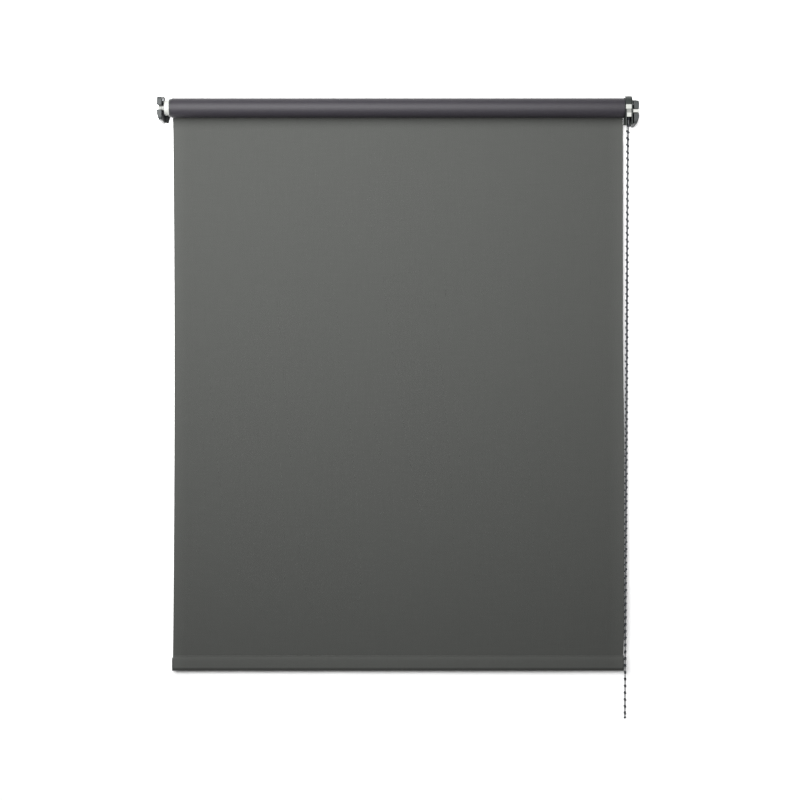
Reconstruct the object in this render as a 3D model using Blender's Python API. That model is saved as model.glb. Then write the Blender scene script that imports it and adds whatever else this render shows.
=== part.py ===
"""Roller blind with a bead-chain clutch, held on a wall by two side brackets.

Metres, +Z up. +X runs along the roller towards the chain side and -Y points into
the room. The origin lies on the wall plane, midway between the brackets, at the
height of the roller's axis.
"""

from math import atan2, cos, pi, radians, sin, sqrt

import bmesh
import bpy
from mathutils import Matrix, Vector

# ---- driving dimensions -------------------------------------------------------------
FABRIC_WIDTH = 0.800          # width of the cloth
FABRIC_DROP = 0.9975          # roller axis to the underside of the hem
AXIS_OUT = 0.030              # wall to roller axis

GAP = 0.0003                  # clearance between pieces that touch or fit
RUNNING_GAP = 0.0005          # clearance beside a turning end face

TUBE_RADIUS = 0.016
TUBE_WALL = 0.001
TUBE_PAST_CLOTH = 0.003       # bare tube at the idle end
TUBE_SHORT_OF_CLOTH = 0.0015  # at the clutch end the cloth covers the plug's collar
WOUND_THICKNESS = 0.0012      # cloth wound on the tube

CLOTH_THICKNESS = 0.0006
HEM_HEIGHT = 0.027
HEM_SLACK = 0.0017            # how much taller the hem pocket is than its bar needs
BAR_HEIGHT = 0.0195
BAR_THICKNESS = 0.0034
BAR_WALL = 0.0008
CAP_THICKNESS = 0.001
CAP_TONGUE = 0.012

ARM_CLEARANCE = 0.0008        # spindle base to the inner face of a bracket arm
ARM_THICKNESS = 0.002
ARM_PAST_AXIS = 0.0175        # how far the arm reaches into the room past the roller's axis
ARM_HALF_HEIGHT = 0.0186      # bracket centre to the arm's lower edge
ARM_FRONT_RISE = 0.0171       # bracket centre to the arm's top edge in front
ARM_WALL_RISE = 0.0228        # the same beside the wall
ARM_LEVEL = 0.017             # length of top edge beside the wall that doesn't slope
FLANGE_THICKNESS = 0.002
FLANGE_WIDTH = 0.0085
FLANGE_HALF_HEIGHT = 0.0203
FLANGE_SHOULDER = 0.0105      # how much shorter the flange is at its free edge than at its tips
FLANGE_TIP = 0.0035           # width of the blunt tips
FLANGE_TIP_INSET = 0.002      # tips from the arm
WALL_SCREW_RADIUS = 0.0022
WALL_SLOT_SHIFT = 0.0025      # half the distance between the ends' centres of the wall screw's slot
COVER_THICKNESS = 0.0086
COVER_WALL = 0.0022
COVER_EDGE = 0.0010           # rounding of the cover's edges
COVER_TAPER = 0.0030          # how far the outer face draws in at the bottom
COVER_TAPER_HEIGHT = 0.0105
COVER_BACK = 0.0005           # cover held clear of the wall
CORNER_RADIUS = 0.006
SLOT_CLEARANCE = 0.0006       # how much taller the slot is than the idle pin
MOUTH_DROP = 0.0020           # how far the slot slopes down from its seat to its mouth
SEAT_LIP = 0.0005             # how far the pin's seat dips below the slot's floor
BRACKET_CENTRE_DROP = 0.002  # bracket centre below the seat
CHAIN_BRACKET_DROP = 0.0068   # the chain side bracket hangs this much lower
COVER_SCREW_RISE = 0.0140
COVER_SCREW_PAST_AXIS = 0.008
SCREW_RADIUS = 0.0013
SCREW_HEAD_RADIUS = 0.0026
SCREW_HEAD_HEIGHT = 0.0014
BOSS_RADIUS = 0.0031

IDLE_FLANGE_RADIUS = 0.013
IDLE_FLANGE_LENGTH = 0.008
COLLAR_THICKNESS = 0.001
PLUG_LENGTH = 0.028
PIN_RADIUS = 0.0041
PIN_TIP_INSET = 0.0004        # pin tip behind the outer face of the bracket cover
PIN_COLLAR_RADIUS = 0.0058
PIN_COLLAR_LENGTH = 0.002
PIN_TAIL_RADIUS = 0.0025
PIN_TAIL_LENGTH = 0.006
PLUG_NOSE = 0.014             # narrow part of the idle plug's bore
PIN_SPRING_WIRE = 0.00045
PIN_SPRING_TURNS = 7
SPRING_CAP_THICKNESS = 0.0022

CHAIN_RADIUS = 0.00225        # bead radius
CHAIN_PITCH_RADIUS = 0.012    # six beads in the sprocket's round
CHAIN_CLEARANCE = 0.0004      # beside a bead in the sprocket's groove
CLUTCH_RADIUS = 0.021
CLUTCH_WALL = 0.0014
SKIRT_DROP = 0.0340           # roller axis to the bottom of the chain guard in front
SKIRT_RISE = 0.0065           # how much higher the guard ends beside the wall
SKIRT_HALF_WIDTH = 0.0205
SKIRT_CORNER = 0.0025
FRONT_OPENING = 0.010         # the guard is open in front, from this far past the axis
BAND_TOP = 0.0029             # the white band across the opening, from the axis up
BAND_BOTTOM = -0.0047
BAND_FRONT = 0.0208
BAND_THICKNESS = 0.0020
TONGUE_FRONT = 0.0201         # the tongue below the band, over the wheel
TONGUE_BOTTOM = -0.0185
TONGUE_THICKNESS = 0.0015
TONGUE_GROOVE = 0.0014        # height of the groove between band and tongue
TONGUE_GROOVE_DEPTH = 0.0007
BACK_PLATE_THICKNESS = 0.0016
SPROCKET_RIM = 0.0022         # sprocket's radius past the chain's pitch radius
SPROCKET_SIDE = 0.0012
SPROCKET_TEETH = 6
FIRST_POCKET = radians(165)   # from the wall side, up and over to the front
SPROCKET_POCKET_RADIUS = 0.0030
SPINDLE_RADIUS = 0.005
SPINDLE_BASE_RIM = 0.001      # how far the base stands out round the spindle
SPINDLE_BASE_THICKNESS = 0.0016
LUG_HEIGHT = 0.0053
LUG_PAST_AXIS = 0.0175        # how far the lug reaches into the room past the axis
CLUTCH_SPRING_WIRE = 0.0005
CLUTCH_SPRING_TURNS = 4
CLUTCH_SPRING_LENGTH = 0.0066
END_WALL = 0.002
SPINDLE_SCREW_HEAD = 0.0075
SPINDLE_SCREW_RADIUS = 0.0018
SPINDLE_SCREW_LENGTH = 0.009

ROUND_SIDES = 48
SMALL_SIDES = 24

# The hanging chain, from the front of the sprocket down and back up behind it.
# Each point is x, y, z and the number of steps to the next one.
CHAIN_ROUTE = [
    (0.4063, -0.0420, -0.00015, 3),
    (0.4061, -0.0420, -0.0330, 3),
    (0.4052, -0.0420, -0.0900, 7),
    (0.4042, -0.0421, -0.3300, 7),
    (0.4027, -0.0421, -0.6300, 7),
    (0.4007, -0.0420, -0.9300, 5),
    (0.3995, -0.0418, -1.0400, 4),
    (0.4000, -0.0385, -1.0670, 3),
    (0.4013, -0.0300, -1.0773, 3),
    (0.4026, -0.0215, -1.0670, 4),
    (0.4031, -0.0184, -1.0400, 5),
    (0.4034, -0.0181, -0.9300, 7),
    (0.4042, -0.0180, -0.6300, 7),
    (0.4056, -0.0180, -0.3300, 7),
    (0.4070, -0.0180, -0.0900, 3),
    (0.4067, -0.0180, -0.0330, 3),
    (0.4063, -0.0180, -0.00015, 0),
]

# ---- places worked out from the dimensions ------------------------------------------
AXIS_Y = -AXIS_OUT
HALF_CLOTH = FABRIC_WIDTH / 2
ROLL_RADIUS = TUBE_RADIUS + GAP + WOUND_THICKNESS
SHEET_Y = AXIS_Y + ROLL_RADIUS + GAP + CLOTH_THICKNESS / 2
TUBE_BORE = TUBE_RADIUS - TUBE_WALL
TUBE_START = -HALF_CLOTH - TUBE_PAST_CLOTH
TUBE_END = HALF_CLOTH - TUBE_SHORT_OF_CLOTH
PLUG_RADIUS = TUBE_BORE - GAP
COLLAR_RADIUS = TUBE_RADIUS - GAP
HEM_TOP = -FABRIC_DROP + HEM_HEIGHT
HEM_THICKNESS = BAR_THICKNESS + 2 * (GAP + CLOTH_THICKNESS)
HEM_BODY = BAR_HEIGHT + HEM_SLACK + 2 * (GAP + CLOTH_THICKNESS)
SPROCKET_RADIUS = CHAIN_PITCH_RADIUS + SPROCKET_RIM
SPROCKET_GROOVE = 2 * (CHAIN_RADIUS + CHAIN_CLEARANCE)
CLUTCH_START = HALF_CLOTH + RUNNING_GAP
SPROCKET_START = CLUTCH_START + CLUTCH_WALL + GAP
SPROCKET_END = SPROCKET_START + 2 * SPROCKET_SIDE + SPROCKET_GROOVE
CHAIN_X = (SPROCKET_START + SPROCKET_END) / 2
CLUTCH_END = SPROCKET_END + RUNNING_GAP
BACK_PLATE_START = CLUTCH_END + GAP
BACK_PLATE_END = BACK_PLATE_START + BACK_PLATE_THICKNESS
SPINDLE_BASE_START = BACK_PLATE_END + GAP
SPINDLE_BASE_END = SPINDLE_BASE_START + SPINDLE_BASE_THICKNESS
ARM_FACE = SPINDLE_BASE_END + ARM_CLEARANCE
ARM_DEPTH = AXIS_OUT + ARM_PAST_AXIS
COVER_FACE = ARM_FACE + COVER_THICKNESS
COVER_HALF_HEIGHT = ARM_HALF_HEIGHT + GAP + COVER_WALL
COVER_FRONT = ARM_DEPTH + GAP + COVER_WALL
SEAT_RADIUS = PIN_RADIUS + GAP
SLOT_HEIGHT = 2 * PIN_RADIUS + SLOT_CLEARANCE
SLOT_FLOOR = -SEAT_RADIUS + SEAT_LIP
SEAT_REACH = sqrt(SEAT_RADIUS**2 - SLOT_FLOOR**2)
SLEEVE_BORE = SPINDLE_RADIUS + 2 * GAP + 2 * CLUTCH_SPRING_WIRE
SLEEVE_RADIUS = SLEEVE_BORE + 0.0016


# ---- materials ----------------------------------------------------------------------
def material(name, colour, roughness, metallic=0.0):
    found = bpy.data.materials.get(name)
    if found:
        return found
    made = bpy.data.materials.new(name)
    made.use_nodes = True
    shader = made.node_tree.nodes["Principled BSDF"]
    shader.inputs["Base Color"].default_value = (*colour, 1.0)
    shader.inputs["Roughness"].default_value = roughness
    shader.inputs["Metallic"].default_value = metallic
    made.diffuse_color = (*colour, 1.0)
    return made


def own_material(node, look):
    colour, roughness, metallic = look
    return material("mat_" + node, colour, roughness, metallic)


CLOTH_FACE = ((0.125, 0.135, 0.130), 0.9, 0.0)
CLOTH_REVERSE = ((0.115, 0.112, 0.125), 0.9, 0.0)
GREY_PLASTIC = ((0.105, 0.115, 0.115), 0.45, 0.0)
GREY_STEEL = ((0.060, 0.065, 0.065), 0.4, 0.6)
WHITE_PLASTIC = ((0.82, 0.83, 0.80), 0.4, 0.0)
BLACK_PLASTIC = ((0.03, 0.03, 0.03), 0.5, 0.0)
BRIGHT_METAL = ((0.72, 0.73, 0.74), 0.3, 1.0)
TUBE_METAL = ((0.17, 0.17, 0.18), 0.35, 0.8)
CHAIN_PLASTIC = ((0.070, 0.072, 0.080), 0.4, 0.0)


# ---- modelling helpers --------------------------------------------------------------
def group_empty(name, place):
    empty = bpy.data.objects.new(name, None)
    empty.location = place
    empty.empty_display_size = 0.02
    bpy.context.collection.objects.link(empty)
    return empty


def add_object(name, mesh, look=None, parent=None, place=(0, 0, 0)):
    made = bpy.data.objects.new(name, mesh)
    bpy.context.collection.objects.link(made)
    made.location = place
    made.parent = parent
    if look:
        mesh.materials.append(own_material(name, look))
    return made


def finish_mesh(bm, name, smooth_angle=None):
    bmesh.ops.remove_doubles(bm, verts=bm.verts, dist=1e-6)
    bmesh.ops.recalc_face_normals(bm, faces=bm.faces)
    mesh = bpy.data.meshes.new(name)
    bm.to_mesh(mesh)
    bm.free()
    if smooth_angle:
        mesh.shade_smooth()
        mesh.set_sharp_from_angle(angle=radians(smooth_angle))
    return mesh


def turned(name, profile, sides=ROUND_SIDES):
    """Turn a closed outline of (x, radius) points round the X axis."""
    bm = bmesh.new()
    verts = [bm.verts.new((x, 0, radius)) for x, radius in profile]
    loop = verts + verts[:1]
    pairs = [pair for pair in zip(loop, loop[1:]) if pair[0].co.z + pair[1].co.z > 0]
    edges = [bm.edges.new(pair) for pair in pairs]
    bmesh.ops.spin(
        bm, geom=verts + edges, cent=(0, 0, 0), axis=(1, 0, 0),
        angle=2 * pi, steps=sides, use_merge=True, use_duplicate=False,
    )
    return finish_mesh(bm, name, 35)


def plate(name, outline, start, end, smooth_angle=35):
    """Extrude an outline of (y, z) points along X from start to end."""
    bm = bmesh.new()
    face = bm.faces.new([bm.verts.new((start, y, z)) for y, z in outline])
    grown = bmesh.ops.extrude_face_region(bm, geom=[face])
    moved = [item for item in grown["geom"] if isinstance(item, bmesh.types.BMVert)]
    bmesh.ops.translate(bm, verts=moved, vec=(end - start, 0, 0))
    return finish_mesh(bm, name, smooth_angle)


def wall_plate(name, outline, depth):
    """Extrude an outline of (x, z) points from the wall plane into the room."""
    bm = bmesh.new()
    face = bm.faces.new([bm.verts.new((x, 0, z)) for x, z in outline])
    grown = bmesh.ops.extrude_face_region(bm, geom=[face])
    moved = [item for item in grown["geom"] if isinstance(item, bmesh.types.BMVert)]
    bmesh.ops.translate(bm, verts=moved, vec=(0, -depth, 0))
    return finish_mesh(bm, name)


def block(name, low, high):
    bm = bmesh.new()
    size = Vector(high) - Vector(low)
    middle = (Vector(high) + Vector(low)) / 2
    placed = Matrix.Translation(middle) @ Matrix.Diagonal((*size, 1))
    bmesh.ops.create_cube(bm, size=1, matrix=placed)
    return finish_mesh(bm, name)


def rod(name, start, end, radius, y, z, sides=SMALL_SIDES):
    """A plain cylinder along X."""
    outline = arc((y, z), radius, 0, 2 * pi, sides)[:-1]
    return plate(name, outline, start, end)


def sleeve(name, outer, inner, start, end):
    """A tube along X with matching outer and inner outlines of (y, z) points."""
    bm = bmesh.new()
    rings = [
        [bm.verts.new((x, y, z)) for y, z in outline]
        for x, outline in ((start, outer), (end, outer), (end, inner), (start, inner))
    ]
    count = len(outer)
    for ring, following in zip(rings, rings[1:] + rings[:1]):
        for i in range(count):
            j = (i + 1) % count
            bm.faces.new((ring[i], ring[j], following[j], following[i]))
    return finish_mesh(bm, name, 35)


def arc(centre, radius, start, end, steps):
    return [
        (
            centre[0] + radius * cos(start + (end - start) * i / steps),
            centre[1] + radius * sin(start + (end - start) * i / steps),
        )
        for i in range(steps + 1)
    ]


def rounded_box(low, high, radius, steps=4):
    """An outline with four round corners, from its low to its high corner."""
    corners = [
        ((high[0] - radius, high[1] - radius), 0),
        ((low[0] + radius, high[1] - radius), pi / 2),
        ((low[0] + radius, low[1] + radius), pi),
        ((high[0] - radius, low[1] + radius), 3 * pi / 2),
    ]
    return [p for centre, turn in corners for p in arc(centre, radius, turn, turn + pi / 2, steps)]


def stadium(centre, height, thickness, steps=6):
    """An upright slot shape of (y, z) points."""
    radius = thickness / 2
    rise = height / 2 - radius
    top = arc((centre[0], centre[1] + rise), radius, 0, pi, steps)
    bottom = arc((centre[0], centre[1] - rise), radius, pi, 2 * pi, steps)
    return top + bottom


def combine(target, tool_mesh, operation, tool_name):
    """Join or cut with a hidden tool that rides on the target's parent."""
    tool = add_object(tool_name, tool_mesh, None, target.parent, target.location)
    tool.hide_render = True
    tool.display_type = "WIRE"
    step = target.modifiers.new(tool_name, "BOOLEAN")
    step.operation = operation
    step.solver = "EXACT"
    step.object = tool
    return tool


def soften(target, width, segments=2, angle=40):
    step = target.modifiers.new("soft_edges", "BEVEL")
    step.width = width
    step.segments = segments
    step.limit_method = "ANGLE"
    step.angle_limit = radians(angle)
    step.harden_normals = False


def wire(name, points, radius, look, parent, resolution=2):
    """A round wire or cord through the given points, with closed ends."""
    curve = bpy.data.curves.new(name, "CURVE")
    curve.dimensions = "3D"
    curve.bevel_depth = radius
    curve.bevel_resolution = resolution
    curve.use_fill_caps = True
    spline = curve.splines.new("POLY")
    spline.points.add(len(points) - 1)
    for point, place in zip(spline.points, points):
        point.co = (*place, 1)
    curve.materials.append(own_material(name, look))
    made = bpy.data.objects.new(name, curve)
    bpy.context.collection.objects.link(made)
    made.parent = parent
    return made


def coil_points(start, end, radius, turns, steps=12):
    """Points of a coil that winds round the X axis."""
    count = turns * steps
    return [
        (
            start + (end - start) * i / count,
            radius * cos(2 * pi * i / steps),
            radius * sin(2 * pi * i / steps),
        )
        for i in range(count + 1)
    ]


def smooth_route(route):
    """A smooth curve through the route's points, with each span's own number of steps."""
    places = [Vector(stop[:3]) for stop in route]
    points = []
    for i, stop in enumerate(route[:-1]):
        a, b = places[i], places[i + 1]
        span = (b - a).length
        enter = (b - places[i - 1]).normalized() if i else (b - a).normalized()
        last = i + 2 >= len(places)
        leave = (b - a).normalized() if last else (places[i + 2] - a).normalized()
        for k in range(stop[3]):
            t = k / stop[3]
            points.append(
                (2 * t**3 - 3 * t**2 + 1) * a
                + (t**3 - 2 * t**2 + t) * span * enter
                + (3 * t**2 - 2 * t**3) * b
                + (t**3 - t**2) * span * leave
            )
    return points + [places[-1]]


# ---- brackets -----------------------------------------------------------------------
def bracket_outline(outset, radius):
    """Side outline of the arm, or of what goes round it: taller beside the wall, round corners in front."""
    front = -ARM_DEPTH - outset
    low = -ARM_HALF_HEIGHT - outset
    top = arc((front + radius, ARM_FRONT_RISE + outset - radius), radius, pi / 2, pi, 5)
    bottom = arc((front + radius, low + radius), radius, pi, 3 * pi / 2, 5)
    high = ARM_WALL_RISE + outset
    return [(0, high), (-ARM_LEVEL, high)] + top + bottom + [(0, low)]


def slot_outline(centre_z):
    """The slot for a pin: open to the front and sloping up to a round seat at its inner end."""
    seat = (AXIS_Y, -centre_z)
    floor = SLOT_FLOOR - centre_z
    roof = floor + SLOT_HEIGHT
    mouth = -2 * COVER_FRONT - AXIS_Y
    drop = 2 * MOUTH_DROP
    start = atan2(SLOT_FLOOR, -SEAT_REACH)
    round_seat = arc(seat, SEAT_RADIUS, start, 0, 9)
    return [(mouth, roof - drop), (mouth, floor - drop)] + round_seat + [(AXIS_Y + SEAT_RADIUS, roof)]


def flange_outline(side):
    """The wall flange runs from the arm towards the cloth, with blunt tips above and below."""
    tip = ARM_FACE - FLANGE_TIP_INSET
    upper = [
        (ARM_FACE + ARM_THICKNESS, ARM_HALF_HEIGHT),
        (ARM_FACE, ARM_HALF_HEIGHT),
        (tip, FLANGE_HALF_HEIGHT),
        (tip - FLANGE_TIP, FLANGE_HALF_HEIGHT),
        (ARM_FACE - FLANGE_WIDTH, FLANGE_HALF_HEIGHT - FLANGE_SHOULDER),
    ]
    lower = [(x, -z) for x, z in reversed(upper)]
    return [(side * x, z) for x, z in upper + lower]


def build_bracket(label, side, seat_z):
    """A folded steel bracket, its plastic cover and the screw that joins them."""
    centre = -BRACKET_CENTRE_DROP
    base = group_empty(label + "_bracket_group", (0, 0, seat_z + centre))
    inside = side * (ARM_FACE - 0.01)
    outside = side * (COVER_FACE + 0.01)
    slot = plate("slot", slot_outline(centre), inside, outside)
    screw_place = (AXIS_Y - COVER_SCREW_PAST_AXIS, COVER_SCREW_RISE)

    side_view = bracket_outline(0, CORNER_RADIUS - COVER_WALL)
    arm_mesh = plate("arm", side_view, side * ARM_FACE, side * (ARM_FACE + ARM_THICKNESS))
    arm = add_object(label + "_bracket", arm_mesh, GREY_STEEL, base)
    flange = wall_plate("flange", flange_outline(side), FLANGE_THICKNESS)
    combine(arm, flange, "UNION", label + "_tool_flange")
    combine(arm, slot, "DIFFERENCE", label + "_tool_arm_slot")
    slot_x = side * (ARM_FACE - FLANGE_WIDTH / 2)
    slot_top = arc((slot_x, WALL_SLOT_SHIFT), WALL_SCREW_RADIUS, 0, pi, 10)
    slot_bottom = arc((slot_x, -WALL_SLOT_SHIFT), WALL_SCREW_RADIUS, pi, 2 * pi, 10)
    screw_slot = wall_plate("screw_slot", slot_top + slot_bottom, 3 * FLANGE_THICKNESS)
    tool = combine(arm, screw_slot, "DIFFERENCE", label + "_tool_wall_screw")
    tool.location.y = FLANGE_THICKNESS
    screw_hole = rod("screw_hole", inside, side * (COVER_FACE - COVER_WALL), SCREW_RADIUS + GAP, *screw_place)
    combine(arm, screw_hole, "DIFFERENCE", label + "_tool_arm_screw")

    side_view = bracket_outline(GAP + COVER_WALL, CORNER_RADIUS)
    cover_mesh = plate("cover", side_view, side * ARM_FACE, side * COVER_FACE)
    cover = add_object(label + "_bracket_cover", cover_mesh, GREY_PLASTIC, base)
    taper_low = -COVER_HALF_HEIGHT - 0.001
    taper_view = [
        (side * COVER_FACE, -COVER_HALF_HEIGHT + COVER_TAPER_HEIGHT),
        (side * (COVER_FACE - COVER_TAPER), -COVER_HALF_HEIGHT),
        (side * (COVER_FACE - COVER_TAPER), taper_low),
        (side * (COVER_FACE + 0.002), taper_low),
        (side * (COVER_FACE + 0.002), -COVER_HALF_HEIGHT + COVER_TAPER_HEIGHT),
    ]
    taper_mesh = wall_plate("taper", taper_view, 1.2 * COVER_FRONT)
    taper = combine(cover, taper_mesh, "DIFFERENCE", label + "_tool_taper")
    taper.location.y = 0.002
    soften(cover, COVER_EDGE, 3)
    pocket_view = bracket_outline(GAP, CORNER_RADIUS - COVER_WALL + GAP)
    pocket = plate("pocket", pocket_view, inside, side * (COVER_FACE - COVER_WALL))
    combine(cover, pocket, "DIFFERENCE", label + "_tool_pocket")
    boss_start = side * (ARM_FACE + ARM_THICKNESS + GAP)
    boss = rod("boss", boss_start, side * (COVER_FACE - COVER_WALL / 2), BOSS_RADIUS, *screw_place)
    combine(cover, boss, "UNION", label + "_tool_boss")
    combine(cover, slot, "DIFFERENCE", label + "_tool_cover_slot")
    combine(cover, screw_hole, "DIFFERENCE", label + "_tool_cover_screw")
    wall_side = block("wall_side", (-1, -COVER_BACK, -1), (1, 1, 1))
    combine(cover, wall_side, "DIFFERENCE", label + "_tool_wall_side")

    head = ARM_FACE - GAP
    screw_profile = [
        (head - SCREW_HEAD_HEIGHT, 0), (head - SCREW_HEAD_HEIGHT, SCREW_HEAD_RADIUS * 0.6),
        (head - SCREW_HEAD_HEIGHT / 2, SCREW_HEAD_RADIUS), (head, SCREW_HEAD_RADIUS),
        (head, SCREW_RADIUS), (COVER_FACE - COVER_WALL - GAP, SCREW_RADIUS),
        (COVER_FACE - COVER_WALL - GAP, 0),
    ]
    screw_mesh = turned(label + "_cover_screw", [(side * x, r) for x, r in screw_profile], 16)
    add_object(label + "_cover_screw", screw_mesh, BRIGHT_METAL, base, (0, *screw_place))


# ---- roller -------------------------------------------------------------------------
def build_tube(axis):
    tube = [
        (TUBE_START, TUBE_BORE), (TUBE_START, TUBE_RADIUS),
        (TUBE_END, TUBE_RADIUS), (TUBE_END, TUBE_BORE),
    ]
    add_object("roller_tube", turned("roller_tube", tube), TUBE_METAL, axis)
    inner = TUBE_RADIUS + GAP
    wound = [
        (-HALF_CLOTH, inner), (-HALF_CLOTH, ROLL_RADIUS),
        (HALF_CLOTH, ROLL_RADIUS), (HALF_CLOTH, inner),
    ]
    add_object("fabric_roll", turned("fabric_roll", wound, 64), CLOTH_REVERSE, axis)


def build_idle_end(axis):
    """The idle plug with its sprung pin, which sits in the left bracket's seat."""
    seat = TUBE_START - GAP
    face = seat - COLLAR_THICKNESS - IDLE_FLANGE_LENGTH
    shoulder = face + PLUG_NOSE
    back = TUBE_START + PLUG_LENGTH
    pin_bore = PIN_RADIUS + GAP
    spring_bore = PIN_COLLAR_RADIUS + GAP
    plug = [
        (face, pin_bore), (face, IDLE_FLANGE_RADIUS - 0.001), (face + 0.001, IDLE_FLANGE_RADIUS),
        (seat - COLLAR_THICKNESS, IDLE_FLANGE_RADIUS), (seat - COLLAR_THICKNESS, COLLAR_RADIUS),
        (seat, COLLAR_RADIUS), (seat, PLUG_RADIUS), (back, PLUG_RADIUS), (back, spring_bore),
        (shoulder, spring_bore), (shoulder, pin_bore),
    ]
    add_object("idle_plug", turned("idle_plug", plug), WHITE_PLASTIC, axis)

    tip = -COVER_FACE + PIN_TIP_INSET
    collar = shoulder + GAP
    tail = collar + PIN_COLLAR_LENGTH
    pin = [
        (tip, 0), (tip, PIN_RADIUS - 0.0008), (tip + 0.0008, PIN_RADIUS), (collar, PIN_RADIUS),
        (collar, PIN_COLLAR_RADIUS), (tail, PIN_COLLAR_RADIUS), (tail, PIN_TAIL_RADIUS),
        (tail + PIN_TAIL_LENGTH, PIN_TAIL_RADIUS), (tail + PIN_TAIL_LENGTH, 0),
    ]
    add_object("idle_pin", turned("idle_pin", pin, SMALL_SIDES), WHITE_PLASTIC, axis)

    cap_start = back - SPRING_CAP_THICKNESS
    cap = [
        (cap_start, 0.0015), (cap_start, PIN_COLLAR_RADIUS), (back, PIN_COLLAR_RADIUS), (back, 0.0015),
    ]
    add_object("idle_spring_cap", turned("idle_spring_cap", cap, SMALL_SIDES), BLACK_PLASTIC, axis)
    inset = PIN_SPRING_WIRE + GAP
    mean = (PIN_TAIL_RADIUS + PIN_COLLAR_RADIUS) / 2
    points = coil_points(tail + inset, cap_start - inset, mean, PIN_SPRING_TURNS)
    wire("idle_pin_spring", points, PIN_SPRING_WIRE, BRIGHT_METAL, axis, 1)


def build_drive_end(axis):
    """The drive plug turns with the tube; the sprocket's sleeve reaches into it."""
    collar_end = TUBE_END + GAP + COLLAR_THICKNESS
    back = TUBE_END - PLUG_LENGTH + END_WALL
    bore = SLEEVE_RADIUS + GAP
    plug = [
        (back, SPINDLE_RADIUS + GAP), (back, PLUG_RADIUS), (TUBE_END + GAP, PLUG_RADIUS),
        (TUBE_END + GAP, COLLAR_RADIUS), (collar_end, COLLAR_RADIUS), (collar_end, bore),
        (back + END_WALL, bore), (back + END_WALL, SPINDLE_RADIUS + GAP),
    ]
    add_object("drive_plug", turned("drive_plug", plug), BLACK_PLASTIC, axis)

    side_a = SPROCKET_START
    side_b = SPROCKET_END
    core = CHAIN_PITCH_RADIUS - CHAIN_RADIUS - GAP
    rim = SPROCKET_RADIUS
    sprocket = [
        (side_a, SLEEVE_RADIUS), (side_a, rim), (side_a + SPROCKET_SIDE, rim), (side_a + SPROCKET_SIDE, core),
        (side_b - SPROCKET_SIDE, core), (side_b - SPROCKET_SIDE, rim), (side_b, rim), (side_b, SLEEVE_BORE),
        (back + END_WALL + GAP, SLEEVE_BORE), (back + END_WALL + GAP, SLEEVE_RADIUS),
    ]
    wheel = add_object("chain_sprocket", turned("chain_sprocket", sprocket), WHITE_PLASTIC, axis)
    for i in range(SPROCKET_TEETH):
        turn = FIRST_POCKET + 2 * pi * i / SPROCKET_TEETH
        gap_centre = (SPROCKET_RADIUS * cos(turn), SPROCKET_RADIUS * sin(turn))
        notch = rod("notch", side_a - 0.002, side_b + 0.002, SPROCKET_POCKET_RADIUS, *gap_centre, 16)
        combine(wheel, notch, "DIFFERENCE", "tool_pocket_%d" % (i + 1))


# ---- clutch -------------------------------------------------------------------------
def clutch_outline(inset, extra=0.0):
    """Round above, with a straight-sided chain guard below."""
    radius = CLUTCH_RADIUS - inset
    half = SKIRT_HALF_WIDTH - inset
    front_low = -SKIRT_DROP - extra
    back_low = front_low + SKIRT_RISE
    reach = sqrt((CLUTCH_RADIUS - inset) ** 2 - half**2)
    start = atan2(-reach, half)
    head = arc((0, 0), radius, start, pi - start, 28)
    front = arc((-half + SKIRT_CORNER, front_low + SKIRT_CORNER), SKIRT_CORNER, pi, 3 * pi / 2, 4)
    back = arc((half - SKIRT_CORNER, back_low + SKIRT_CORNER), SKIRT_CORNER, 3 * pi / 2, 2 * pi, 4)
    return head + front + back


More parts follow.
